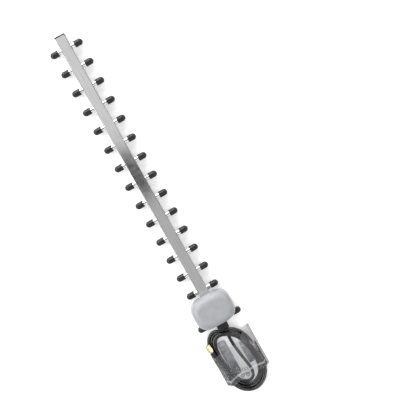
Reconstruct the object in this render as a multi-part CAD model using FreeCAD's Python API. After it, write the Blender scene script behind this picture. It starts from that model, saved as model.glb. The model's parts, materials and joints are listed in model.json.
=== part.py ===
import FreeCAD, Part
import math
import os

# Fourteen-director 2.4 GHz yagi antenna lying flat, elements level, with its lead and mounting kit.
# Frame: X along the elements, +Y along the boom to its tip, +Z up through the feed box.
# Origin: middle of the boom's length, on its flat back face. Millimetres.

V = FreeCAD.Vector
X_AXIS = V(1, 0, 0)
Y_AXIS = V(0, 1, 0)
Z_AXIS = V(0, 0, 1)

# ---- driving dimensions ----
BOOM_W = 16.0            # square boom tube, outside
BOOM_WALL = 1.2
BOOM_TIP = 249.0         # y of the cut end under the tip cap
BOOM_END = -249.0        # y of the cut end inside the end plug
BOOM_MID = BOOM_W / 2    # height of the elements

DIRECTORS = 14
DIRECTOR_FIRST_Y = 230.8
DIRECTOR_PITCH = 31.78
DIRECTOR_LEN_TIP = 53.3  # over the caps, at the boom's tip
DIRECTOR_LEN_FEED = 53.9  # over the caps, beside the feed box
REFLECTOR_Y = -236.2
REFLECTOR_LEN = 74.0
ROD_R = 4.0
ROD_WALL = 0.8
CAP_R = 5.0
CAP_LEN = 13.3
CAP_END = 2.5            # rubber beyond the end of the rod

FEED_Y = -213.6          # middle of the feed box
FEED_W = 64.0
FEED_L = 50.4
FEED_POWER = 3.3         # exponent of the box's rounded outline
BASE_T = 3.6             # base plate, standing on the boom's front face
GASKET_T = 0.5
COVER_H = 15.5
COVER_WALL = 2.2
NECK_L = 4.2
CHEEK_T = 2.4

PLUG_WALL = 0.5
PLUG_LIP = 1.8           # end wall beyond the boom
CABLE_R = 2.4
EXIT_Z = 4.4             # height of the lead's exit
INNER_R = 1.2            # thin coax inside the boom
GROMMET_R = 3.6
GROMMET_END = -254.4

FILM_T = 0.25            # clear sleeve round the kit
FILM_X = (-39.9, 35.6)
FILM_Y = (-337.0, -265.0)
FILM_MOUTH_Y = -280.0
FILM_TOP = 15.6

COIL_MID = (-4.0, -304.8)
COIL_A = 34.4            # half width of the wound lead
COIL_B = 58.0            # half length of the wound lead
COIL_LOW = 0.5
COIL_TOP = 14.6
COIL_POINTS = 40

# The connector lies on the coil and points along the boom, a few degrees towards -X.
CONNECTOR_REAR = V(-33.1, -286.2, 10.0)
CONNECTOR_TURN = 8.0     # degrees from +Y towards -X
TAIL_LEN = 8.0
HEX_AF = 8.0
NUT_LEN = 9.4
RUNNING_FIT = 0.06       # radial gap of the turning nut


# ---- small helpers ----
def block(x0, x1, y0, y1, z0, z1):
    return Part.makeBox(x1 - x0, y1 - y0, z1 - z0, V(x0, y0, z0))


def rod(radius, start, end):
    line = end.sub(start)
    return Part.makeCylinder(radius, line.Length, start, line)


def save(name, *solids):
    shape = solids[0] if len(solids) == 1 else Part.makeCompound(solids)
    shape.exportStep("parts/" + name + ".step")
    print(name, "solids", len(shape.Solids), "volume", round(shape.Volume, 1), "valid", shape.isValid())
    return shape


def rounded_bar(width, height, y0, y1, z_mid, radius):
    bar = block(-width / 2, width / 2, y0, y1, z_mid - height / 2, z_mid + height / 2)
    if radius <= 0:
        return bar
    long_edges = [e for e in bar.Edges if abs(e.Vertexes[0].Y - e.Vertexes[1].Y) > 0.5 * (y1 - y0)]
    return bar.makeFillet(radius, long_edges)


def tube_along(points, radius, name):
    """Straight runs joined by tangent arcs, swept with a circle."""
    edges = []
    radii = []
    here = points[0]
    for before, corner, after in zip(points, points[1:], points[2:]):
        into = corner.sub(before)
        out = after.sub(corner)
        half_turn = into.getAngle(out) / 2
        reach = 0.45 * min(into.Length, out.Length)
        arc_radius = reach / math.tan(half_turn)
        radii.append(round(arc_radius, 1))
        into.normalize()
        out.normalize()
        start = corner.sub(into * reach)
        end = corner.add(out * reach)
        middle_way = out.sub(into)
        middle_way.normalize()
        sag = arc_radius / math.cos(half_turn) - arc_radius
        edges.append(Part.LineSegment(here, start).toShape())
        edges.append(Part.Arc(start, corner.add(middle_way * sag), end).toShape())
        here = end
    edges.append(Part.LineSegment(here, points[-1]).toShape())
    path = Part.Wire(edges)
    first = points[1].sub(points[0])
    ring = Part.Wire([Part.makeCircle(radius, points[0], first)])
    tube = path.makePipeShell([ring], True, False)
    print(name, "length", round(path.Length, 1), "arc radii", radii,
          "volume ratio", round(tube.Volume / (math.pi * radius ** 2 * path.Length), 4))
    return tube


# ---- boom ----
def rod_places():
    places = [DIRECTOR_FIRST_Y - DIRECTOR_PITCH * i for i in range(DIRECTORS)]
    return places + [REFLECTOR_Y]


def boom():
    outside = rounded_bar(BOOM_W, BOOM_W, BOOM_END, BOOM_TIP, BOOM_MID, 0.9)
    inner = BOOM_W - 2 * BOOM_WALL
    inside = rounded_bar(inner, inner, BOOM_END - 1, BOOM_TIP + 1, BOOM_MID, 0)
    tube = outside.cut(inside)
    for y in rod_places():
        tube = tube.cut(rod(ROD_R, V(-BOOM_W, y, BOOM_MID), V(BOOM_W, y, BOOM_MID)))
    tube = tube.cut(rod(2.5, V(0, FEED_Y, BOOM_MID), V(0, FEED_Y, BOOM_W + 1)))
    for y in BASE_SCREW_Y:
        tube = tube.cut(rod(SCREW_R, V(0, y, BOOM_MID), V(0, y, BOOM_W + 1)))
    return tube


def boom_tip_cap():
    flange = rounded_bar(BOOM_W + 0.6, BOOM_W, BOOM_TIP, BOOM_TIP + 2.0, BOOM_MID, 0.9)
    inner = BOOM_W - 2 * BOOM_WALL
    spigot = rounded_bar(inner, inner, BOOM_TIP - 7, BOOM_TIP, BOOM_MID, 0)
    hollow = rounded_bar(inner - 3, inner - 3, BOOM_TIP - 8, BOOM_TIP - 1, BOOM_MID, 0)
    return flange.fuse(spigot).cut(hollow).removeSplitter()


# ---- elements ----
def director_length(index):
    share = index / (DIRECTORS - 1)
    return DIRECTOR_LEN_TIP + (DIRECTOR_LEN_FEED - DIRECTOR_LEN_TIP) * share


def element(y, length):
    half = length / 2 - CAP_END
    ends = (V(-half, y, BOOM_MID), V(half, y, BOOM_MID))
    return rod(ROD_R, *ends).cut(rod(ROD_R - ROD_WALL, *ends))


def element_caps(y, length):
    caps = []
    for side in (-1, 1):
        tip = side * length / 2
        inboard = side * (length / 2 - CAP_LEN)
        dome_mid = side * (length / 2 - CAP_R)
        body = rod(CAP_R, V(inboard, y, BOOM_MID), V(dome_mid, y, BOOM_MID))
        dome = Part.makeSphere(CAP_R, V(dome_mid, y, BOOM_MID))
        bore = rod(ROD_R, V(inboard - side, y, BOOM_MID), V(tip - side * CAP_END, y, BOOM_MID))
        caps.append(body.fuse(dome).removeSplitter().cut(bore))
    return caps


# ---- feed box ----
BASE_SCREW_Y = (FEED_Y + 16.0, FEED_Y - 17.0)
SCREW_R = 1.45
COVER_SCREWS = [(x, FEED_Y + y) for x in (-22.0, 22.0) for y in (-14.0, 14.0)]
BOARD_PINS = [(x, FEED_Y + y) for x in (-9.0, 9.0) for y in (-9.6, 9.6)]
PIN_R = 0.9
BASE_TOP = BOOM_W + BASE_T
COVER_LOW = BASE_TOP + GASKET_T
BOARD_LOW = BASE_TOP + 4.0
BOARD_T = 1.6


def feed_outline(inset, z):
    """Closed rounded outline of the box: a superellipse."""
    a = FEED_W / 2 - inset
    b = FEED_L / 2 - inset
    points = []
    for i in range(COIL_POINTS):
        turn = 2 * math.pi * i / COIL_POINTS
        c = math.cos(turn)
        s = math.sin(turn)
        x = a * math.copysign(abs(c) ** (2 / FEED_POWER), c)
        y = b * math.copysign(abs(s) ** (2 / FEED_POWER), s)
        points.append(V(x, FEED_Y + y, z))
    curve = Part.BSplineCurve()
    curve.interpolate(points, PeriodicFlag=True)
    return Part.Wire([curve.toShape()])


def feed_plate(inset, z0, z1):
    return Part.Face(feed_outline(inset, z0)).extrude(V(0, 0, z1 - z0))


def feed_base():
    plate = feed_plate(0.0, BOOM_W, BASE_TOP)
    neck_end = FEED_Y + FEED_L / 2 + NECK_L
    neck = block(-BOOM_MID, BOOM_MID, FEED_Y, neck_end, BOOM_W, BASE_TOP - 0.6)
    base = plate.fuse(neck)
    for side in (-1, 1):
        inner = side * BOOM_MID
        outer = side * (BOOM_MID + CHEEK_T)
        cheek = block(min(inner, outer), max(inner, outer), FEED_Y - 17, FEED_Y + 18, 7.0, BOOM_W)
        base = base.fuse(cheek)
    for x, y in BOARD_PINS:
        base = base.fuse(rod(2.6, V(x, y, BASE_TOP), V(x, y, BOARD_LOW)))
    base = base.removeSplitter()
    base = base.cut(rod(2.5, V(0, FEED_Y, BOOM_W - 1), V(0, FEED_Y, BASE_TOP + 1)))
    for y in BASE_SCREW_Y:
        base = base.cut(rod(SCREW_R, V(0, y, BOOM_W - 1), V(0, y, BASE_TOP + 1)))
    for x, y in COVER_SCREWS:
        base = base.cut(rod(SCREW_R, V(x, y, BOOM_W - 1), V(x, y, BASE_TOP + 1)))
    for x, y in BOARD_PINS:
        base = base.cut(rod(PIN_R, V(x, y, BASE_TOP - 2), V(x, y, BOARD_LOW + 1)))
    return base


def cover_shell(grow, top):
    """Solid inside the box's domed outline, shrunk evenly by grow."""
    levels = ((0.0, 0.0), (0.40, 0.35), (0.62, 1.5), (0.82, 4.2), (0.94, 7.3), (1.0, 10.2))
    wires = [feed_outline(inset + grow, COVER_LOW + share * top) for share, inset in levels]
    return Part.makeLoft(wires, True, False)


def feed_cover():
    shell = cover_shell(0.0, COVER_H).cut(cover_shell(COVER_WALL, COVER_H - COVER_WALL))
    for x, y in COVER_SCREWS:
        post = rod(3.0, V(x, y, COVER_LOW), V(x, y, COVER_LOW + 9))
        shell = shell.fuse(post)
    shell = shell.removeSplitter()
    for x, y in COVER_SCREWS:
        shell = shell.cut(rod(SCREW_R, V(x, y, COVER_LOW - 1), V(x, y, COVER_LOW + 7)))
    return shell


def feed_gasket():
    hole = feed_plate(COVER_WALL - 0.2, BASE_TOP - 1, COVER_LOW + 1)
    return feed_plate(0.3, BASE_TOP, COVER_LOW).cut(hole)


def pan_screw(x, y, head_z, head_side, length):
    """head_side is +1 for a head above the joint, -1 for one below it."""
    head = rod(2.7, V(x, y, head_z), V(x, y, head_z + head_side * 1.8))
    shank = rod(SCREW_R, V(x, y, head_z - head_side * length), V(x, y, head_z))
    slot_low = min(head_z + head_side * 0.9, head_z + head_side * 2)
    slot = block(x - 2.0, x + 2.0, y - 0.35, y + 0.35, slot_low, slot_low + 1.1)
    cross = block(x - 0.35, x + 0.35, y - 2.0, y + 2.0, slot_low, slot_low + 1.1)
    return head.fuse(shank).cut(slot).cut(cross)


def feed_dipole():
    z = BOARD_LOW + BOARD_T
    outer = rounded_slot(27.5, 7.5, z, z + 1.6)
    inner = rounded_slot(24.3, 4.3, z - 1, z + 3)
    gap = block(-1.5, 1.5, FEED_Y - 9, FEED_Y - 2, z - 1, z + 3)
    return outer.cut(inner).cut(gap)


def rounded_slot(half_x, half_y, z0, z1):
    slot = block(-half_x + half_y, half_x - half_y, FEED_Y - half_y, FEED_Y + half_y, z0, z1)
    for side in (-1, 1):
        x = side * (half_x - half_y)
        slot = slot.fuse(rod(half_y, V(x, FEED_Y, z0), V(x, FEED_Y, z1)))
    return slot.removeSplitter()


def feed_board():
    board = block(-12.5, 12.5, FEED_Y - 11.5, FEED_Y + 11.5, BOARD_LOW, BOARD_LOW + BOARD_T)
    board = board.cut(rod(INNER_R, V(0, FEED_Y, BOARD_LOW - 1), V(0, FEED_Y, BOARD_LOW + 3)))
    for x, y in BOARD_PINS:
        board = board.cut(rod(PIN_R, V(x, y, BOARD_LOW - 1), V(x, y, BOARD_LOW + 3)))
    return board


def board_pins():
    pins = []
    for x, y in BOARD_PINS:
        shank = rod(PIN_R, V(x, y, BASE_TOP - 2), V(x, y, BOARD_LOW + BOARD_T))
        head = rod(1.6, V(x, y, BOARD_LOW + BOARD_T), V(x, y, BOARD_LOW + BOARD_T + 1))
        pins.append(shank.fuse(head).removeSplitter())
    return pins


# ---- end of the boom and the lead inside it ----
SPLICE_END = BOOM_END + 6.6


def end_plug():
    inner = BOOM_W - 2 * BOOM_WALL
    spigot = rounded_bar(inner, inner, BOOM_END, BOOM_END + 6, BOOM_MID, 0)
    wall_y = BOOM_END - PLUG_LIP
    wide = BOOM_MID + PLUG_WALL
    wall = block(-wide, wide, wall_y, BOOM_END, 0.4, BOOM_W + PLUG_WALL)
    front = REFLECTOR_Y - ROD_R - 0.3
    roof = block(-wide, wide, BOOM_END, front, BOOM_W, BOOM_W + PLUG_WALL)
    plug = spigot.fuse(wall).fuse(roof)
    for side in (-1, 1):
        x0 = min(side * BOOM_MID, side * wide)
        side_front = front - CAP_R + ROD_R
        plug = plug.fuse(block(x0, x0 + PLUG_WALL, BOOM_END, side_front, 0.4, BOOM_W + PLUG_WALL))
    groove = block(-0.7, 0.7, wall_y - 1, front + 1, BOOM_W + PLUG_WALL - 0.3, BOOM_W + 3)
    plug = plug.cut(groove)
    lead_way = rod(CABLE_R, V(0, wall_y - 1, EXIT_Z), V(0, BOOM_END + 7, EXIT_Z))
    grommet_way = rod(GROMMET_R - 0.6, V(0, wall_y - 1, EXIT_Z), V(0, BOOM_END + 0.2, EXIT_Z))
    return plug.removeSplitter().cut(lead_way).cut(grommet_way)


def cable_grommet():
    wall_y = BOOM_END - PLUG_LIP
    wall_side = V(0, wall_y, EXIT_Z)
    taper = Part.makeCone(GROMMET_R, CABLE_R + 0.5, wall_y - GROMMET_END, wall_side, V(0, -1, 0))
    neck = rod(GROMMET_R - 0.6, V(0, wall_y, EXIT_Z), V(0, BOOM_END + 0.2, EXIT_Z))
    bore = rod(CABLE_R, V(0, GROMMET_END - 1, EXIT_Z), V(0, BOOM_END + 1, EXIT_Z))
    return taper.fuse(neck).removeSplitter().cut(bore)


def cable_splice():
    """Crimped ferrule that joins the thin inner coax to the outer lead inside the plug."""
    stub = rod(CABLE_R, V(0, GROMMET_END, EXIT_Z), V(0, BOOM_END + 5.2, EXIT_Z))
    return stub.fuse(rod(1.9, V(0, BOOM_END + 5.2, EXIT_Z), V(0, SPLICE_END, EXIT_Z))).removeSplitter()


def inner_coax():
    low_z = EXIT_Z
    high_z = BOOM_W - BOOM_WALL - INNER_R - 0.15
    points = [V(0, SPLICE_END, low_z), V(0, SPLICE_END + 1, low_z), V(0, REFLECTOR_Y - 3.2, 2.58),
              V(0.3, REFLECTOR_Y + 1.5, 2.6), V(0, FEED_Y - 9, 4.0), V(0, FEED_Y, high_z - 4),
              V(0, FEED_Y, BOARD_LOW + BOARD_T)]
    return tube_along(points, INNER_R, "inner_coax")


# ---- free lead, coil and tail ----
def coil_point(turn, inset, z):
    """Point of the coil's outline at an angle, moved inwards by inset: a leaning oval with full shoulders."""
    c = math.cos(turn)
    s = math.sin(turn)
    fullness = 12.5 if c > 0 else (5.0 if s > 0 else 9.6)
    shoulder = math.copysign(fullness * (s * c) ** 2, c)
    x = COIL_MID[0] + COIL_A * c - 5.9 * s - 4.3 * s * s + shoulder
    y = COIL_MID[1] + COIL_B * s
    size = math.hypot(c / COIL_A, s / COIL_B)
    return V(x - inset * c / COIL_A / size, y - inset * s / COIL_B / size, z)


def coil_thickness(turn):
    s = math.sin(turn)
    return 9.0 + 8.6 * max(0.0, s) ** 2 + 11.0 * max(0.0, -s) ** 2


def coil_face(inner):
    points = []
    for i in range(COIL_POINTS):
        turn = 2 * math.pi * i / COIL_POINTS
        inset = coil_thickness(turn) if inner else 0.0
        points.append(coil_point(turn, inset, COIL_LOW))
    curve = Part.BSplineCurve()
    curve.interpolate(points, PeriodicFlag=True)
    return Part.Face(Part.Wire([curve.toShape()]))


LEAD_ROUTE = [V(0, -254.4, 4.4), V(0, -263.6, 4.4), V(-0.6, -274.5, 2.95), V(-0.1, -286, 2.75),
              V(1.5, -298, 2.75), V(3.4, -311, 2.8), V(5.4, -321.5, 2.75), V(6.2, -331, 2.8),
              V(4.5, -339.5, 2.9), V(-0.5, -344.3, 3.0)]


def cable_coil(connector_way, lead):
    up = V(0, 0, COIL_TOP - COIL_LOW)
    ring = coil_face(False).extrude(up).cut(coil_face(True).extrude(up))
    tunnel = block(-4.0, 3.6, -285, -245, 0, 7.6)
    end_room = block(-BOOM_MID - 0.9, BOOM_MID + 0.9, BOOM_END - PLUG_LIP - 0.4, -230, 0, 20)
    grommet_room = block(-GROMMET_R - 0.4, GROMMET_R + 0.4, GROMMET_END - 0.3, -245, 0, 9)
    return ring.cut(tunnel).cut(end_room).cut(grommet_room).cut(connector_way).cut(lead)


# ---- coaxial connector ----
def on_connector(shape):
    """Moves a piece built along +Y from the origin to its place on the lead's tail."""
    shape.rotate(V(0, 0, 0), Z_AXIS, CONNECTOR_TURN)
    shape.translate(CONNECTOR_REAR)
    return shape


def ring_along(outer, inner, y0, y1):
    return rod(outer, V(0, y0, 0), V(0, y1, 0)).cut(rod(inner, V(0, y0 - 1, 0), V(0, y1 + 1, 0)))


BARREL_R = 2.6
COLLAR_Y = (12.0, 14.0)
NUT_START = 14.3
NUT_SHOULDER = 17.0
BARREL_END = 18.2
THREAD_START = 18.9
THREAD_R = 3.0


def connector_body():
    ferrule = rod(2.9, V(0, 0, 0), V(0, COLLAR_Y[0], 0))
    collar = rod(3.9, V(0, COLLAR_Y[0], 0), V(0, COLLAR_Y[1], 0))
    barrel = rod(BARREL_R, V(0, COLLAR_Y[1], 0), V(0, BARREL_END, 0))
    bore = rod(1.9, V(0, 15.0, 0), V(0, BARREL_END + 1, 0))
    groove = ring_along(4.0, BARREL_R - 0.35, 17.35, 18.05)
    pin_way = rod(0.65, V(0, 12, 0), V(0, 16, 0))
    turned = ferrule.fuse(collar).fuse(barrel).removeSplitter()
    return on_connector(turned.cut(bore).cut(groove).cut(pin_way))


def connector_boot():
    sleeve = rod(3.5, V(0, 0, 0), V(0, 11.6, 0))
    rear = [e for e in sleeve.Edges if e.Closed and e.CenterOfMass.y < 0.1]
    sleeve = sleeve.makeFillet(0.5, rear)
    return on_connector(sleeve.cut(rod(2.9, V(0, -1, 0), V(0, 13, 0))))


def retaining_ring():
    ring = ring_along(3.0, BARREL_R - 0.35, 17.35, 18.05)
    return on_connector(ring.cut(block(-0.5, 0.5, 16, 19, 0, 4)))


def connector_insulator():
    plug = rod(1.9, V(0, 15.0, 0), V(0, BARREL_END, 0))
    return on_connector(plug.cut(rod(0.65, V(0, 14, 0), V(0, 20, 0))))


def connector_contact():
    pin = rod(0.65, V(0, 12, 0), V(0, BARREL_END, 0))
    return on_connector(pin.cut(rod(0.4, V(0, 15.6, 0), V(0, 20, 0))))


def coupling_nut():
    corner = HEX_AF / math.sqrt(3)
    turns = [math.radians(60 * i + 30) for i in range(7)]
    hexagon = [V(corner * math.cos(turn), 0, corner * math.sin(turn)) for turn in turns]
    end = NUT_START + NUT_LEN
    body = Part.Face(Part.makePolygon(hexagon)).extrude(V(0, NUT_LEN, 0))
    body.translate(V(0, NUT_START, 0))
    front_size = corner + NUT_LEN + 1.2
    back_size = NUT_LEN + 2 * corner + 1
    front = Part.makeCone(front_size, 0, front_size, V(0, NUT_START - 0.1, 0), Y_AXIS)
    back = Part.makeCone(0, back_size, back_size, V(0, NUT_START - corner + 0.4, 0), Y_AXIS)
    body = body.common(front).common(back)
    groove = ring_along(6.0, 3.85, end - 2.9, end - 2.4)
    thread_bore = rod(THREAD_R, V(0, NUT_SHOULDER, 0), V(0, end + 1, 0))
    ring_chamber = rod(THREAD_R + 0.35, V(0, NUT_SHOULDER, 0), V(0, THREAD_START, 0))
    rear_bore = rod(BARREL_R + RUNNING_FIT, V(0, NUT_START - 1, 0), V(0, NUT_SHOULDER + 1, 0))
    return on_connector(body.cut(groove).cut(thread_bore).cut(ring_chamber).cut(rear_bore))


def cable_tail():
    return on_connector(rod(CABLE_R, V(0, -TAIL_LEN, 0), V(0, 0, 0)))


def connector_room():
    """Space that the coil leaves for the connector and the lead's last few millimetres."""
    return on_connector(rod(5.3, V(0, -TAIL_LEN, 0), V(0, 60, 0)))


# ---- mounting kit in its sleeve ----
PLATE_LOW = 0.45


def rounded_plate(x0, x1, y0, y1, z0, thickness, radius):
    plate = block(x0, x1, y0, y1, z0, z0 + thickness)
    corners = [e for e in plate.Edges if abs(e.Vertexes[0].Z - e.Vertexes[1].Z) > 0.5 * thickness]
    return plate.makeFillet(radius, corners)


def mounting_bracket():
    plate = rounded_plate(-23.2, -9.3, -328.4, -269.0, PLATE_LOW, 2.0, 3.0)
    fold = block(-22.6, -10.0, -319.6, -317.6, PLATE_LOW, PLATE_LOW + 7.0)
    plate = plate.fuse(fold).removeSplitter()
    for x in (-19.6, -13.0):
        plate = plate.cut(rod(1.7, V(x, -321.0, PLATE_LOW + 4.4), V(x, -316.0, PLATE_LOW + 4.4)))
    return plate


def clamp_plate():
    outline = [V(8.2, -284.6, 0), V(13.0, -284.6, 0), V(18.6, -296.0, 0), V(19.4, -306.0, 0),
               V(19.4, -317.0, 0), V(16.0, -321.2, 0), V(8.2, -321.2, 0), V(8.2, -284.6, 0)]
    plate = Part.Face(Part.makePolygon(outline)).extrude(V(0, 0, 2.0))
    plate.translate(V(0, 0, PLATE_LOW))
    return plate.cut(rod(1.7, V(10.6, -292.0, -1), V(10.6, -292.0, 4)))


def hexagon_solid(across_flats, x, y, z0, z1):
    corner = across_flats / math.sqrt(3)
    turns = [math.radians(60 * i) for i in range(7)]
    points = [V(x + corner * math.cos(turn), y + corner * math.sin(turn), z0) for turn in turns]
    return Part.Face(Part.makePolygon(points)).extrude(V(0, 0, z1 - z0))


KIT_PLACES = ((-11.0, -333.6), (-3.2, -336.2))


def kit_bolts():
    bolts = []
    for y, head_x, side in ((-326.4, -6.0, -1), (-331.2, 0.0, 1)):
        shank = rod(1.5, V(head_x, y, 3.0), V(head_x - side * 8.0, y, 3.0))
        head = rod(2.5, V(head_x, y, 3.0), V(head_x + side * 2.2, y, 3.0))
        bolts.append(shank.fuse(head).removeSplitter())
    return bolts


def on_kit_places(outer, z0, z1):
    rings = []
    for x, y in KIT_PLACES:
        rings.append(rod(outer, V(x, y, z0), V(x, y, z1)).cut(rod(1.6, V(x, y, 0), V(x, y, 9))))
    return rings


def kit_nuts():
    nuts = []
    for x, y in KIT_PLACES:
        nuts.append(hexagon_solid(5.5, x, y, 2.3, 4.7).cut(rod(1.5, V(x, y, 0), V(x, y, 9))))
    return nuts


def kit_washers():
    return on_kit_places(3.5, 0.45, 1.25)


def kit_spring_washers():
    rings = on_kit_places(2.9, 1.35, 2.2)
    return [ring.cut(block(x, x + 4, y - 0.3, y + 0.3, 0, 9)) for ring, (x, y) in zip(rings, KIT_PLACES)]


def kit_sleeve():
    x0, x1 = FILM_X
    y0, y1 = FILM_Y
    outside = block(x0, x1, y0, FILM_MOUTH_Y, 0, FILM_TOP)
    inside = block(x0 + FILM_T, x1 - FILM_T, y0 - 1, FILM_MOUTH_Y + 1, FILM_T, FILM_TOP - FILM_T)
    under = block(x0, x1, FILM_MOUTH_Y, y1, 0, FILM_T)
    return outside.cut(inside).fuse(under).removeSplitter()


# ---- write every node ----
def write_elements():
    for index in range(DIRECTORS):
        y = DIRECTOR_FIRST_Y - DIRECTOR_PITCH * index
        length = director_length(index)
        save("director_%02d" % (index + 1), element(y, length))
        save("director_caps_%02d" % (index + 1), *element_caps(y, length))
    save("reflector", element(REFLECTOR_Y, REFLECTOR_LEN))
    save("reflector_caps", *element_caps(REFLECTOR_Y, REFLECTOR_LEN))


def write_feed_box():
    save("feed_base", feed_base())
    save("feed_cover", feed_cover())
    save("feed_gasket", feed_gasket())
    save("base_screws", *[pan_screw(0, y, BASE_TOP, 1, 7.5) for y in BASE_SCREW_Y])
    save("cover_screws", *[pan_screw(x, y, BOOM_W, -1, 10.5) for x, y in COVER_SCREWS])
    save("feed_dipole", feed_dipole())
    save("feed_board", feed_board())
    save("board_pins", *board_pins())


def write_lead():
    save("end_plug", end_plug())
    save("cable_grommet", cable_grommet())
    save("cable_splice", cable_splice())
    save("inner_coax", inner_coax())
    lead = tube_along(LEAD_ROUTE, CABLE_R, "cable_lead")
    save("cable_lead", lead)
    save("cable_coil", cable_coil(connector_room(), lead))
    save("cable_tail", cable_tail())
    save("connector_body", connector_body())
    save("connector_boot", connector_boot())
    save("retaining_ring", retaining_ring())
    save("connector_insulator", connector_insulator())
    save("connector_contact", connector_contact())
    save("coupling_nut", coupling_nut())


def write_kit():
    save("mounting_bracket", mounting_bracket())
    save("clamp_plate", clamp_plate())
    save("kit_bolts", *kit_bolts())
    save("kit_nuts", *kit_nuts())
    save("kit_washers", *kit_washers())
    save("kit_spring_washers", *kit_spring_washers())
    save("kit_sleeve", kit_sleeve())


os.makedirs("parts", exist_ok=True)
save("boom", boom())
save("boom_tip_cap", boom_tip_cap())
write_elements()
write_feed_box()
write_lead()
write_kit()
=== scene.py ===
import json
import math

import bpy
import numpy as np
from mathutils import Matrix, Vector, noise
from mathutils.bvhtree import BVHTree


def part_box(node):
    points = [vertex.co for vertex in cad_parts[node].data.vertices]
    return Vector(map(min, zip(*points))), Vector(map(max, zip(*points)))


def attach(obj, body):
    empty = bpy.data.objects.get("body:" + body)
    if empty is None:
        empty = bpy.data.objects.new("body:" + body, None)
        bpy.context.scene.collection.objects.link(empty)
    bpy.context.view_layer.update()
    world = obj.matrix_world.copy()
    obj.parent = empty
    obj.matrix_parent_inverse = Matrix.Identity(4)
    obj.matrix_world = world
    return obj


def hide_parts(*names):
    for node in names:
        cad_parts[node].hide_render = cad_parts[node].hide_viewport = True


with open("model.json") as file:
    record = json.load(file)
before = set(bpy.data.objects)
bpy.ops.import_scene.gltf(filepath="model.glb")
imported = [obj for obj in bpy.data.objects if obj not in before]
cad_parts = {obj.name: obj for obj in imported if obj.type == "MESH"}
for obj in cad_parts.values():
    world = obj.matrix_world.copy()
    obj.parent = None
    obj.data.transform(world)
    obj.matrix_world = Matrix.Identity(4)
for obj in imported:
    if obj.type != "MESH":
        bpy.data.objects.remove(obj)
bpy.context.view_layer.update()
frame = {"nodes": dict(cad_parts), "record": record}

MM = 0.001
NODES = frame["nodes"]


# ---------------------------------------------------------------- small helpers
def linear(code):
    """sRGB hex to linear RGBA."""
    values = []
    for i in (1, 3, 5):
        c = int(code[i:i + 2], 16) / 255
        values.append(c / 12.92 if c <= 0.04045 else ((c + 0.055) / 1.055) ** 2.4)
    return (*values, 1.0)


def deselect():
    bpy.ops.object.select_all(action="DESELECT")


def add_node(tree, kind, links=(), to=(), **settings):
    """One shader node: in_Name sets an input, links are (input, socket) pairs, to is (node, input) pairs."""
    made = tree.nodes.new(kind)
    for name, value in settings.items():
        if name.startswith("in_"):
            made.inputs[name[3:].replace("_", " ")].default_value = value
        else:
            setattr(made, name, value)
    for name, source in links:
        tree.links.new(source, made.inputs[name])
    for node, name in to:
        tree.links.new(made.outputs[0], node.inputs[name])
    return made


def new_material(name, roughness, metallic=0.0):
    """A material with one Principled shader, and the piece's own coordinates in millimetres."""
    made = bpy.data.materials.new(name)
    made.use_nodes = True
    tree = made.node_tree
    tree.nodes.clear()
    out = add_node(tree, "ShaderNodeOutputMaterial")
    shader = add_node(tree, "ShaderNodeBsdfPrincipled", to=[(out, "Surface")], in_Roughness=roughness,
                      in_Metallic=metallic)
    place = add_node(tree, "ShaderNodeTexCoord")
    scaled = add_node(tree, "ShaderNodeMapping", [("Vector", place.outputs["Object"])],
                      in_Scale=(1000, 1000, 1000))
    return made, tree, shader, scaled.outputs[0]


def mottled_colour(tree, shader, where, dark, light, size_mm, low=0.35, high=0.65):
    """Colour that drifts between two tones over patches of a real size."""
    cloud = add_node(tree, "ShaderNodeTexNoise", [("Vector", where)], in_Scale=1 / size_mm, in_Detail=3.0)
    ramp = add_node(tree, "ShaderNodeValToRGB", [("Fac", cloud.outputs[0])], [(shader, "Base Color")])
    ramp.color_ramp.elements[0].position = low
    ramp.color_ramp.elements[0].color = linear(dark)
    ramp.color_ramp.elements[1].position = high
    ramp.color_ramp.elements[1].color = linear(light)
    return ramp


def uneven_gloss(tree, shader, where, smooth, rough, size_mm):
    """Roughness that varies between two values over patches of a real size."""
    cloud = add_node(tree, "ShaderNodeTexNoise", [("Vector", where)], in_Scale=1 / size_mm, in_Detail=4.0)
    add_node(tree, "ShaderNodeMapRange", [("Value", cloud.outputs[0])], [(shader, "Roughness")],
             in_From_Min=0.3, in_From_Max=0.7, in_To_Min=smooth, in_To_Max=rough)


def grained_surface(tree, shader, where, stretch, size_mm, depth_mm, strength, detail=2.0):
    """Relief of one grain size, drawn out along an axis whose stretch is small."""
    drawn = add_node(tree, "ShaderNodeMapping", [("Vector", where)], in_Scale=stretch)
    grain = add_node(tree, "ShaderNodeTexNoise", [("Vector", drawn.outputs[0])], in_Scale=1 / size_mm,
                     in_Detail=detail)
    add_node(tree, "ShaderNodeBump", [("Height", grain.outputs[0])], [(shader, "Normal")],
             in_Strength=strength, in_Distance=depth_mm * MM)


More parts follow.
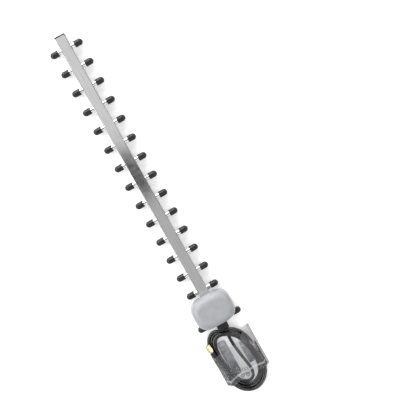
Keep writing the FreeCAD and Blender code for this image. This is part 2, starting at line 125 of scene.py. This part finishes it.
# ---------------------------------------------------------------- metals
def anodised_aluminium():
    """Extruded, satin anodised tube: a soft mirror with fine die lines along it, and painted shade that
    darkens its corners.
    """
    made, tree, shader, where = new_material("satin_anodised_aluminium", 0.13, 1.0)
    lines = add_node(tree, "ShaderNodeMapping", [("Vector", where)], in_Scale=(1, 0.04, 1))
    cloud = add_node(tree, "ShaderNodeTexNoise", [("Vector", lines.outputs[0])], in_Scale=1 / 1.6,
                     in_Detail=4.0)
    split = add_node(tree, "ShaderNodeSeparateXYZ", [("Vector", where)])
    across = add_node(tree, "ShaderNodeMath", [(0, split.outputs["X"])], operation="ABSOLUTE")
    # painted shade: the colour is pulled darker from 6.7 mm out from the middle to the tube's corners
    painted_corner_shade = add_node(tree, "ShaderNodeMapRange", [("Value", across.outputs[0])], in_From_Min=6.7,
                      in_From_Max=7.7, in_To_Min=0.0, in_To_Max=0.6)
    mottle_and_painted_shade = add_node(tree, "ShaderNodeMath", [(0, cloud.outputs[0]), (1, painted_corner_shade.outputs[0])],
                    operation="SUBTRACT")
    ramp = add_node(tree, "ShaderNodeValToRGB", [("Fac", mottle_and_painted_shade.outputs[0])], [(shader, "Base Color")])
    # the dark low stop is reached mostly where the painted corner shade pulls the tone down
    ramp.color_ramp.elements[0].position = 0.05
    ramp.color_ramp.elements[0].color = linear("#8A8A8C")
    ramp.color_ramp.elements[1].position = 0.65
    ramp.color_ramp.elements[1].color = linear("#EDEDED")
    ramp.color_ramp.elements.new(0.35).color = linear("#E4E4E4")
    uneven_gloss(tree, shader, where, 0.10, 0.16, 9.0)
    grained_surface(tree, shader, where, (1, 0.02, 1), 0.5, 0.006, 0.2, 3.0)
    return made


def drawn_aluminium():
    """Bright drawn tube: sharp highlights along it and faint grey draw marks."""
    made, tree, shader, where = new_material("bright_drawn_aluminium", 0.16, 1.0)
    mottled_colour(tree, shader, where, "#DADADA", "#E8E8E8", 1.5)
    uneven_gloss(tree, shader, where, 0.11, 0.22, 3.0)
    grained_surface(tree, shader, where, (0.06, 1, 1), 0.6, 0.01, 0.3)
    return made


def zinc_sheet():
    """Zinc-plated pressed sheet: grey, blotchy, half dull, and darker towards its folded end by painted
    shade.
    """
    made, tree, shader, where = new_material("zinc_plated_sheet", 0.36, 1.0)
    cloud = add_node(tree, "ShaderNodeTexNoise", [("Vector", where)], in_Scale=1 / 4.5, in_Detail=4.0)
    split = add_node(tree, "ShaderNodeSeparateXYZ", [("Vector", where)])
    # painted shade: the colour darkens over the last 16 mm before the folded end
    painted_fold_shade = add_node(tree, "ShaderNodeMapRange", [("Value", split.outputs["Y"])], in_From_Min=-316.0,
                     in_From_Max=-300.0, in_To_Min=-0.3, in_To_Max=0.0)
    mottle_and_painted_shade = add_node(tree, "ShaderNodeMath", [(0, cloud.outputs[0]), (1, painted_fold_shade.outputs[0])], operation="ADD")
    ramp = add_node(tree, "ShaderNodeValToRGB", [("Fac", mottle_and_painted_shade.outputs[0])], [(shader, "Base Color")])
    ramp.color_ramp.elements[0].position = 0.1
    # the darkest stop is reached mostly under the painted shade near the fold
    ramp.color_ramp.elements[0].color = linear("#6E7074")
    ramp.color_ramp.elements[1].position = 0.65
    ramp.color_ramp.elements[1].color = linear("#C2C5C9")
    ramp.color_ramp.elements.new(0.38).color = linear("#A0A3A8")
    uneven_gloss(tree, shader, where, 0.28, 0.46, 5.0)
    grained_surface(tree, shader, where, (1, 1, 1), 0.35, 0.02, 0.4)
    return made


def zinc_fastener():
    """Bright zinc-plated steel screws, nuts and washers."""
    made, tree, shader, where = new_material("bright_zinc_steel", 0.26, 1.0)
    mottled_colour(tree, shader, where, "#B4B7BB", "#D3D5D8", 1.2)
    uneven_gloss(tree, shader, where, 0.2, 0.34, 1.6)
    return made


def gold_plate():
    """Thin gold over turned brass: pale yellow, bright, with fine rings from the lathe."""
    made, tree, shader, where = new_material("gold_plated_brass", 0.32, 1.0)
    mottled_colour(tree, shader, where, "#F0D79A", "#FFF0C8", 2.0)
    uneven_gloss(tree, shader, where, 0.26, 0.4, 1.5)
    grained_surface(tree, shader, where, (0.1, 1, 0.1), 0.3, 0.01, 0.3, 1.0)
    return made


def brass_strip():
    """Stamped brass strip, lightly tarnished."""
    made, tree, shader, where = new_material("stamped_brass", 0.34, 1.0)
    mottled_colour(tree, shader, where, "#B8934E", "#DFC07A", 4.0)
    return made


# ---------------------------------------------------------------- plastics and rubber
def moulded_rubber():
    """Soft black moulded rubber: deep black with a broad grey sheen. Its skin is drawn at 0.5 mm."""
    made, tree, shader, where = new_material("moulded_black_rubber", 0.36)
    mottled_colour(tree, shader, where, "#0B0B0C", "#131314", 2.5)
    uneven_gloss(tree, shader, where, 0.3, 0.42, 1.2)
    grained_surface(tree, shader, where, (1, 1, 1), 0.5, 0.03, 0.45, 3.0)
    return made


def grey_abs():
    """Injection-moulded grey ABS with a fine spark-eroded texture, drawn at 0.4 mm so that it shows."""
    made, tree, shader, where = new_material("moulded_grey_abs", 0.34)
    mottled_colour(tree, shader, where, "#989A9E", "#9EA0A4", 9.0)
    uneven_gloss(tree, shader, where, 0.3, 0.38, 4.0)
    grained_surface(tree, shader, where, (1, 1, 1), 0.4, 0.03, 0.25, 3.0)
    return made


def black_nylon():
    """Black moulded nylon with a satin skin."""
    made, tree, shader, where = new_material("moulded_black_nylon", 0.4)
    mottled_colour(tree, shader, where, "#0F0F11", "#18181B", 3.0)
    uneven_gloss(tree, shader, where, 0.34, 0.46, 2.0)
    grained_surface(tree, shader, where, (1, 1, 1), 0.35, 0.03, 0.4)
    return made


def pvc_jacket():
    """Extruded PVC cable jacket: black, semi-gloss, with the braid's lay just showing through."""
    made, tree, shader, where = new_material("black_pvc_jacket", 0.28)
    shader.inputs["IOR"].default_value = 1.46
    shader.inputs["Coat Weight"].default_value = 0.6
    shader.inputs["Coat Roughness"].default_value = 0.16
    mottled_colour(tree, shader, where, "#0A0A0B", "#121214", 3.0)
    uneven_gloss(tree, shader, where, 0.22, 0.34, 2.5)
    grained_surface(tree, shader, where, (1, 1, 1), 1.1, 0.05, 0.15, 1.0)
    return made


def heat_shrink():
    """Polyolefin heat-shrink tube: black, slightly wrinkled, semi-matt."""
    made, tree, shader, where = new_material("black_heat_shrink", 0.42)
    mottled_colour(tree, shader, where, "#0F0F10", "#19191B", 1.5)
    grained_surface(tree, shader, where, (1, 1, 1), 1.4, 0.08, 0.5)
    return made


def plain_moulding(name, dark, light, roughness, patch_mm):
    """A small hidden piece in its real colour, with slight unevenness."""
    made, tree, shader, where = new_material(name, roughness)
    mottled_colour(tree, shader, where, dark, light, patch_mm)
    uneven_gloss(tree, shader, where, roughness - 0.06, roughness + 0.08, patch_mm)
    return made


def polythene_film(name, dark, light, veil):
    """Clear polythene: a thin grey veil over what lies under it, and a mirror skin that glints in creases."""
    made, tree, shader, where = new_material(name, 0.4)
    mottled_colour(tree, shader, where, dark, light, 8.0)
    creases = add_node(tree, "ShaderNodeTexNoise", [("Vector", where)], in_Scale=1 / 3.5, in_Detail=3.0,
                       in_Distortion=1.4)
    bump = add_node(tree, "ShaderNodeBump", [("Height", creases.outputs[0])], [(shader, "Normal")],
                    in_Strength=0.3, in_Distance=0.12 * MM)
    clear = add_node(tree, "ShaderNodeBsdfTransparent")
    veiled = add_node(tree, "ShaderNodeMixShader", [(1, clear.outputs[0]), (2, shader.outputs[0])],
                      in_Fac=veil)
    skin = add_node(tree, "ShaderNodeBsdfAnisotropic", [("Normal", bump.outputs[0])], in_Roughness=0.14)
    facing = add_node(tree, "ShaderNodeFresnel", [("Normal", bump.outputs[0])], in_IOR=1.34)
    out = tree.nodes["Material Output"]
    add_node(tree, "ShaderNodeMixShader",
             [(0, facing.outputs[0]), (1, veiled.outputs[0]), (2, skin.outputs[0])], [(out, "Surface")])
    return made


FINISHES = {
    "boom_aluminium": anodised_aluminium(),
    "rod_aluminium": drawn_aluminium(),
    "cap_rubber": moulded_rubber(),
    "black_plastic": black_nylon(),
    "grey_abs": grey_abs(),
    "gasket_rubber": plain_moulding("foam_gasket", "#202022", "#2B2B2D", 0.7, 0.6),
    "zinc_steel": zinc_fastener(),
    "zinc_plate": zinc_sheet(),
    "brass_strip": brass_strip(),
    "circuit_board": plain_moulding("glass_epoxy_board", "#1E5B33", "#24683B", 0.4, 0.8),
    "cable_sheath": pvc_jacket(),
    "inner_sheath": plain_moulding("brown_fep_jacket", "#6E4A2C", "#7B5534", 0.3, 2.0),
    "heat_shrink": heat_shrink(),
    "ptfe": plain_moulding("turned_ptfe", "#E9E9E4", "#F2F2EE", 0.4, 1.0),
    "gold_plate": gold_plate(),
    "clear_film": polythene_film("clear_polythene_film", "#C4C4CA", "#DADAE0", 0.05),
}
FILM_MARGIN = polythene_film("polythene_side_seam", "#8A8A90", "#9C9CA2", 0.12)
FILM_RIB = polythene_film("polythene_press_rib", "#F0F0F2", "#FAFAFA", 0.6)


def dress_nodes():
    """Every CAD node gets the finish of its record slot."""
    for row in frame["record"]["subparts"]:
        mesh = NODES[row["node"]].data
        mesh.materials.clear()
        mesh.materials.append(FINISHES[row["material_slot"]])


# ---------------------------------------------------------------- camera, lights and floor
CAMERA_AT = (0.0555, 0.0148, 0.9138)
CAMERA_TURN = (-0.0681, -0.0479, -0.5067)
CAMERA_LENS = 54.0


def add_camera():
    bpy.ops.object.camera_add(location=CAMERA_AT, rotation=CAMERA_TURN)
    camera = bpy.context.object
    camera.name = "camera"
    camera.data.lens = CAMERA_LENS
    camera.data.clip_start = 0.01
    bpy.context.scene.camera = camera


def add_softbox(name, at, towards, size, radiance):
    bpy.ops.object.light_add(type="AREA", location=at)
    lamp = bpy.context.object
    lamp.name = name
    lamp.data.shape = "RECTANGLE"
    lamp.data.size, lamp.data.size_y = size
    lamp.data.energy = 4 * size[0] * size[1] * radiance
    lamp.rotation_euler = (Vector(towards) - Vector(at)).to_track_quat("-Z", "Y").to_euler()
    lamp.visible_camera = False


def dark_disc(name, at, radius):
    """A black disc that only mirrors see: it stands for the camera above the boom."""
    bpy.ops.mesh.primitive_circle_add(vertices=48, radius=radius, fill_type="NGON", location=at)
    disc = bpy.context.object
    disc.name = name
    black = bpy.data.materials.new("black_lens_hood")
    black.use_nodes = True
    black.node_tree.nodes["Principled BSDF"].inputs["Base Color"].default_value = linear("#050506")
    disc.data.materials.append(black)
    disc.visible_camera = False
    disc.visible_shadow = False
    disc.visible_diffuse = False


def add_floor():
    bpy.ops.mesh.primitive_plane_add(size=8, location=(0, 0, -0.0002))
    floor = bpy.context.object
    floor.name = "floor"
    paint = bpy.data.materials.new("white_table_paint")
    paint.use_nodes = True
    shader = paint.node_tree.nodes["Principled BSDF"]
    shader.inputs["Base Color"].default_value = linear("#F7F7F7")
    shader.inputs["Roughness"].default_value = 0.9
    shader.inputs["Specular IOR Level"].default_value = 0.1
    shader.inputs["Emission Color"].default_value = (1, 1, 1, 1)
    shader.inputs["Emission Strength"].default_value = 0.3    # a lit table, which hides soft shadows
    floor.data.materials.append(paint)


def light_studio():
    scene = bpy.context.scene
    scene.view_settings.view_transform = "Standard"
    world = bpy.data.worlds.new("studio")
    world.use_nodes = True
    scene.world = world
    world.node_tree.nodes["Background"].inputs["Color"].default_value = (1, 1, 1, 1)
    world.node_tree.nodes["Background"].inputs["Strength"].default_value = 0.5
    middle = (0, -0.05, 0)
    add_softbox("left_strip", (-1.3, 0.05, 1.1), middle, (1.4, 0.45), 4.6)
    add_softbox("right_strip", (1.3, -0.1, 1.1), middle, (1.4, 0.35), 3.0)
    add_softbox("front_strip", (-0.15, 1.45, 1.2), middle, (1.3, 0.4), 6.4)
    add_softbox("rear_strip", (0.0, -1.5, 1.2), middle, (1.3, 0.35), 2.2)
    add_softbox("key_softbox", (-0.85, 0.75, 1.25), middle, (0.5, 0.5), 5.5)
    add_softbox("tip_window", (0.0, 1.3, 0.4), (0, 0.2, 0), (1.6, 0.4), 4.5)
    add_softbox("tip_panel", (0.0, 0.74, 1.7), (0, 0.741, 0), (1.3, 1.16), 0.17)
    dark_disc("lens_hood", (-0.089, 0.027, 0.95), 0.08)


# ---------------------------------------------------------------- the lead
CABLE_R = 2.4 * MM
COIL_MID = (-4.0, -304.1)
COIL_A = 34.8
COIL_B = 60.7
FILM_LOW = 0.25
LEAD_ROUTE = [(0, -254.4, 4.4), (0, -263.6, 4.4), (-0.6, -274.5, 2.95), (-0.1, -286, 2.75),
              (1.5, -298, 2.75), (3.4, -311, 2.8), (5.4, -321.5, 2.75), (6.2, -331, 2.8), (4.5, -339.5, 2.9),
              (-0.5, -344.3, 3.0)]
CONNECTOR_REAR = np.array((-33.1, -286.2, 10.0))
CONNECTOR_TURN = math.radians(8.0)
CONNECTOR_WAY = np.array((-math.sin(CONNECTOR_TURN), math.cos(CONNECTOR_TURN), 0.0))
CONNECTOR_PARTS = ((0.0, 12.0, 3.7), (12.0, 24.0, 4.75))    # along the axis from, to, radius
GROMMET = ((0, -250.0, 4.4), (0, -254.6, 4.4), 3.6)
PLUG_CORNER = (8.6, -250.9)
STEP = 5.0    # between the points of the turns
CROSSING_RISE = 6.6    # how far the turns climb where they cross the plug's end
CROSSING_WIDTH = 13.0
PLATE_TOP = 2.45
FIRST_TURN = 0.09
LAST_TURN = 4.12

# Where each of the passes lies in the bundle at a share of a turn: distance in from the coil's outline, and
# height. Passes 0 to 3 are whole turns, from the inside out at the bottom of the coil. Pass 4 is the last
# short stretch, on top, before the tail.
PASSES = {
    0.00: ((17.6, 2.9), (13.0, 2.9), (7.6, 2.9), (2.4, 2.9), (5.0, 7.0)),
    0.12: ((14.5, 2.9), (9.8, 2.9), (5.0, 2.9), (5.6, 7.0), (4.8, 11.2)),
    0.25: ((12.0, 2.9), (7.2, 2.9), (2.4, 2.9), (9.6, 7.0), (5.4, 10.4)),
    0.33: ((12.0, 2.9), (7.2, 2.9), (2.4, 2.9), (10.2, 7.1), (5.4, 10.0)),
    0.50: ((14.0, 2.9), (7.2, 3.0), (2.4, 2.9), (10.6, 6.4), (5.4, 10.0)),
    0.64: ((11.6, 2.9), (6.6, 3.2), (2.4, 2.9), (8.8, 6.8), (5.4, 10.0)),
    0.78: ((11.4, 2.9), (6.9, 2.9), (2.4, 2.9), (4.7, 6.9), (5.4, 10.0)),
}


def coil_point(turn, inset, z):
    """Point of the coil's outline at an angle, moved inwards by inset: a leaning oval with full shoulders."""
    c = math.cos(turn)
    s = math.sin(turn)
    fullness = 12.5 if c > 0 else (5.0 if s > 0 else 9.6)
    shoulder = math.copysign(fullness * (s * c) ** 2, c)
    x = COIL_MID[0] + COIL_A * c - 5.9 * s - 4.3 * s * s + shoulder
    y = COIL_MID[1] + COIL_B * s
    size = math.hypot(c / COIL_A, s / COIL_B)
    return np.array((x - inset * c / COIL_A / size, y - inset * s / COIL_B / size, z))


def place_in_bundle(turns):
    """Inset and height after so many turns, from the table of passes."""
    index = int(turns)
    share = turns - index
    stops = sorted(PASSES)
    rows = [PASSES[stop][index] for stop in stops]
    if index + 1 < len(PASSES[0.0]):
        stops = stops + [1.0]
        rows.append(PASSES[0.0][index + 1])
    inset = np.interp(share, stops, [row[0] for row in rows])
    height = np.interp(share, stops, [row[1] for row in rows])
    return float(inset), float(height)


def joined(start, way_in, end, way_out, count):
    """Points of a smooth bend between two ends with given directions."""
    reach = 1.2 * np.linalg.norm(end - start)
    way_in = way_in / np.linalg.norm(way_in) * reach
    way_out = way_out / np.linalg.norm(way_out) * reach
    bend = []
    for t in np.linspace(0, 1, count + 2)[1:-1]:
        bend.append((2 * t ** 3 - 3 * t ** 2 + 1) * start + (t ** 3 - 2 * t ** 2 + t) * way_in
                    + (3 * t ** 2 - 2 * t ** 3) * end + (t ** 3 - t ** 2) * way_out)
    return bend


def first_lay(lead, tail):
    """The turns as wound, before they settle: clockwise from the lead's end at the bottom of the coil."""
    first, last = FIRST_TURN, LAST_TURN
    count = int((last - first) * 52)
    points = []
    for i in range(count + 1):
        turns = first + (last - first) * i / count
        inset, height = place_in_bundle(turns)
        point = coil_point(-math.pi / 2 - 2 * math.pi * turns, inset, height)
        rise = CROSSING_RISE if point[1] > -280 else 0.0
        point[2] += rise * math.exp(-(point[0] / CROSSING_WIDTH) ** 2)
        points.append(point)
    start = joined(lead[-1], lead[-1] - lead[-2], points[0], points[1] - points[0], 4)
    finish = joined(points[-1], points[-1] - points[-2], tail[0], tail[1] - tail[0], 8)
    return np.array(start + points + finish)


def even(points, step):
    """The same line with points an even step apart."""
    gaps = np.linalg.norm(np.diff(points, axis=0), axis=1)
    along = np.concatenate(([0.0], np.cumsum(gaps)))
    count = max(2, int(round(along[-1] / step)))
    at = np.linspace(0, along[-1], count + 1)
    return np.stack([np.interp(at, along, points[:, k]) for k in range(3)], axis=1)


def push_from_line(points, start, end, reach):
    """Moves points out of a round bar."""
    start = np.array(start, float)
    way = np.array(end, float) - start
    share = np.clip(((points - start) @ way) / (way @ way), 0, 1)
    away = points - (start + share[:, None] * way)
    gap = np.linalg.norm(away, axis=1)
    inside = gap < reach
    away[gap < 1e-6] = (0, 0, 1)
    scale = np.where(inside, (reach - gap) / np.maximum(gap, 1e-6), 0.0)
    return points + away * scale[:, None]


def softened(line, passes):
    """Kinks taken out, ends kept."""
    line = line.copy()
    for step in range(passes):
        line[1:-1] += 0.5 * (0.5 * (line[:-2] + line[2:]) - line[1:-1])
    return line


def settle(lead, turns, tail):
    """Lets the turns slide off each other, the connector, the plug and the plates."""
    aim = softened(np.concatenate((lead, turns, tail)), 3)
    aim[:len(lead)] = lead
    aim[-len(tail):] = tail
    line = aim.copy()
    thick = 2 * CABLE_R / MM
    skin = 2.45    # half the cable, and a hair of air
    index = np.arange(len(line))
    neighbours = np.abs(index[:, None] - index[None, :]) < 6
    for step in range(320):
        shift = line - aim
        shift[1:-1] += 0.3 * (0.5 * (shift[:-2] + shift[2:]) - shift[1:-1])
        line = aim + 0.965 * shift
        gap = line[:, None, :] - line[None, :, :]
        size = np.linalg.norm(gap, axis=2)
        size[neighbours] = 99.0
        short = np.clip(thick - size, 0, None)
        line += 0.35 * ((gap / np.maximum(size, 1e-3)[:, :, None]) * short[:, :, None]).sum(axis=1)
        for low, high, radius in CONNECTOR_PARTS:
            line = push_from_line(line, CONNECTOR_REAR + CONNECTOR_WAY * low,
                                  CONNECTOR_REAR + CONNECTOR_WAY * high, radius + skin)
        line = push_from_line(line, GROMMET[0], GROMMET[1], GROMMET[2] + 2.4)
        at_plug = (np.abs(line[:, 0]) < PLUG_CORNER[0] + 2.0) & (line[:, 1] > PLUG_CORNER[1] - skin)
        line[at_plug, 1] = PLUG_CORNER[1] - skin
        for node in ("mounting_bracket", "clamp_plate"):
            low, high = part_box(node)
            over = ((line[:, 0] > low.x / MM - 1.6) & (line[:, 0] < high.x / MM + 1.6)
                    & (line[:, 1] > low.y / MM - 1.6) & (line[:, 1] < high.y / MM + 1.6))
            line[over, 2] = np.maximum(line[over, 2], PLATE_TOP + skin)
        line[:, 2] = np.maximum(line[:, 2], FILM_LOW + skin)
        line[:len(lead)] = lead
        line[-len(tail):] = tail
    return line


def lead_line():
    """Control points of the whole lead in millimetres: run, turns and tail."""
    lead = np.array(LEAD_ROUTE, float)
    tail = np.array([CONNECTOR_REAR - CONNECTOR_WAY * d for d in (10.0, 5.0, 0.0)])
    turns = even(first_lay(lead, tail), STEP)
    line = settle(lead, turns, tail)
    wound = line[len(lead):len(line) - len(tail)]
    return np.concatenate((lead, wound[1::2], tail))


def add_cable(points):
    curve = bpy.data.curves.new("coax_lead", "CURVE")
    curve.dimensions = "3D"
    spline = curve.splines.new("NURBS")
    spline.points.add(len(points) - 1)
    for slot, point in zip(spline.points, points):
        slot.co = (*(point * MM), 1.0)
    spline.order_u = 3
    spline.use_endpoint_u = True
    spline.resolution_u = 4
    curve.bevel_depth = CABLE_R
    curve.bevel_resolution = 4
    curve.materials.append(FINISHES["cable_sheath"])
    cable = bpy.data.objects.new("coax_lead", curve)
    bpy.context.scene.collection.objects.link(cable)
    return cable


def spline_length(cable):
    """Length of the curve's own centreline."""
    bare = cable.data.copy()
    bare.bevel_depth = 0.0
    probe = bpy.data.objects.new("probe", bare)
    mesh = bpy.data.meshes.new_from_object(probe)
    line = np.array([v.co for v in mesh.vertices])
    bpy.data.objects.remove(probe)
    bpy.data.meshes.remove(mesh)
    return float(np.linalg.norm(np.diff(line, axis=0), axis=1).sum())


def make_lead():
    cable = add_cable(lead_line())
    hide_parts("cable_lead", "cable_coil", "cable_tail")
    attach(cable, "root")
    print("lead length", round(spline_length(cable), 4))
    return cable


# ---------------------------------------------------------------- film sleeve
FILM_X = (-39.6, 35.4)
FILM_END_Y = -336.9
FILM_SEAM = 3.6
FILM_BACK_TOP_Y = -265.0
FILM_THICK = 0.08
FILM_LIE = 0.55    # height of the front sheet where it is sealed down
FILM_ACROSS = 141
FILM_ALONG = 111
BACK_GRID = 30
UNDER_FILM = ("mounting_bracket", "clamp_plate", "kit_nuts", "kit_bolts", "kit_washers", "connector_boot",
              "connector_body")


def mouth(x):
    """y of the front film's open edge, which rises to the right."""
    share = min(1.0, max(0.0, (x + 10) / 45))
    return -283.6 + 19.0 * (share * share * (3 - 2 * share)) ** 1.5


def film_grid():
    across = np.linspace(FILM_X[0], FILM_X[1], FILM_ACROSS)
    along = np.linspace(0, 1, FILM_ALONG)
    x = np.repeat(across[None, :], FILM_ALONG, axis=0)
    top = np.array([mouth(v) for v in across])
    low = np.array([FILM_END_Y - 5.0 * math.exp(-((v + 4) / 9) ** 4) for v in across])
    y = low[None, :] + along[:, None] * (top - low)[None, :]
    return x, y


def tops_under(x, y, cable):
    """Height of what lies under the film at each grid point, found by looking down on it."""
    view = bpy.context.evaluated_depsgraph_get()
    trees = [BVHTree.FromObject(NODES[name], view) for name in UNDER_FILM]
    lead = bpy.data.meshes.new_from_object(cable.evaluated_get(view))
    trees.append(BVHTree.FromPolygons([v.co for v in lead.vertices], [p.vertices for p in lead.polygons]))
    bpy.data.meshes.remove(lead)
    ground = np.full(x.shape, FILM_LIE)
    for index in np.ndindex(x.shape):
        above = Vector((x[index] * MM, y[index] * MM, 0.05))
        for tree in trees:
            hit = tree.ray_cast(above, Vector((0, 0, -1)))[0]
            if hit is not None:
                ground[index] = max(ground[index], hit.z / MM + 0.2)
    return ground


def drape(x, y, cable):
    """A stretched membrane that rests on what is under it and is sealed down at its two sides."""
    ground = tops_under(x, y, cable)
    z = ground.copy()
    seam = (x < FILM_X[0] + 0.8) | (x > FILM_X[1] - FILM_SEAM)
    for step in range(900):
        padded = np.pad(z, 1, mode="edge")
        mean = 0.25 * (padded[:-2, 1:-1] + padded[2:, 1:-1] + padded[1:-1, :-2] + padded[1:-1, 2:])
        z = np.maximum(ground, mean - 0.006)
        z[seam] = FILM_LIE
    return z


def crumple(x, y, z):
    """Small creases, deeper where the film is loose between the cable's turns."""
    creased = z.copy()
    for row in range(z.shape[0]):
        for column in range(z.shape[1]):
            px, py = x[row, column], y[row, column]
            fold = noise.noise(Vector((px * 0.16 + py * 0.09, py * 0.05, 3.1)))
            fine = noise.noise(Vector((px * 0.45, py * 0.30, 7.7)))
            ridge = noise.noise(Vector((px * 0.34 + py * 0.30, py * 0.12 - px * 0.05, 1.3)))
            edge = max(0.0, min(1.0, (px - FILM_X[0]) / 3, (FILM_X[1] - px) / 5))
            loose = max(0.0, min(1.0, (-22.0 - px) / 4))
            height = (0.35 * abs(fold) + 0.12 * abs(fine) + 1.6 * loose * max(0.0, ridge))
            creased[row, column] += edge * height
    return creased


def sheet_mesh(name, x, y, z):
    """A closed thin sheet from a grid of points."""
    rows, columns = x.shape
    points = [tuple(np.array((x[r, c], y[r, c], z[r, c])) * MM) for r in range(rows) for c in range(columns)]
    faces = []
    for r in range(rows - 1):
        for c in range(columns - 1):
            here = r * columns + c
            faces.append((here, here + 1, here + columns + 1, here + columns))
    mesh = bpy.data.meshes.new(name)
    mesh.from_pydata(points, [], faces)
    mesh.update()
    sheet = bpy.data.objects.new(name, mesh)
    bpy.context.scene.collection.objects.link(sheet)
    deselect()
    sheet.select_set(True)
    bpy.context.view_layer.objects.active = sheet
    shell = sheet.modifiers.new("thickness", "SOLIDIFY")
    shell.thickness = FILM_THICK * MM
    shell.offset = -1
    bpy.ops.object.modifier_apply(modifier="thickness")
    bpy.ops.object.shade_smooth_by_angle(angle=math.radians(40))
    return sheet


def make_sleeve(cable):
    x, y = film_grid()
    z = crumple(x, y, drape(x, y, cable))
    front = sheet_mesh("film_front", x, y, z)
    back_x, back_y = np.meshgrid(np.linspace(FILM_X[0], FILM_X[1], BACK_GRID),
                                 np.linspace(FILM_END_Y, FILM_BACK_TOP_Y, BACK_GRID))
    back = sheet_mesh("film_back", back_x, back_y, np.full(back_x.shape, 0.14))
    for sheet in (front, back):
        sheet.data.materials.clear()
        sheet.data.materials.append(FINISHES["clear_film"])
        sheet.data.materials.append(FILM_MARGIN)
        for face in sheet.data.polygons:
            face.material_index = int(face.center.x > (FILM_X[1] - FILM_SEAM) * MM)
        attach(sheet, "root")
    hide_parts("kit_sleeve")
    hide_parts("kit_sleeve")
    rib = make_ribs(x, y, z)


def make_ribs(x, y, z):
    """Two press-seal ribs that follow the front film near its open end."""
    curve = bpy.data.curves.new("film_ribs", "CURVE")
    curve.dimensions = "3D"
    for offset in (-329.6, -327.9):
        column_points = []
        for column in range(4, x.shape[1] - 6, 2):
            row = int(np.argmin(np.abs(y[:, column] - offset)))
            column_points.append((x[row, column], offset, z[row, column] + 0.1))
        spline = curve.splines.new("POLY")
        spline.points.add(len(column_points) - 1)
        for slot, point in zip(spline.points, column_points):
            slot.co = (*(np.array(point) * MM), 1.0)
    curve.bevel_depth = 0.32 * MM
    curve.bevel_resolution = 2
    rib = bpy.data.objects.new("film_ribs", curve)
    bpy.context.scene.collection.objects.link(rib)
    deselect()
    rib.select_set(True)
    bpy.context.view_layer.objects.active = rib
    bpy.ops.object.convert(target="MESH")
    rib = bpy.context.object
    rib.data.materials.clear()
    rib.data.materials.append(FILM_RIB)
    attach(rib, "root")
    return rib


# ---------------------------------------------------------------- build the scene
deselect()
add_camera()
light_studio()
add_floor()
dress_nodes()
make_sleeve(make_lead())
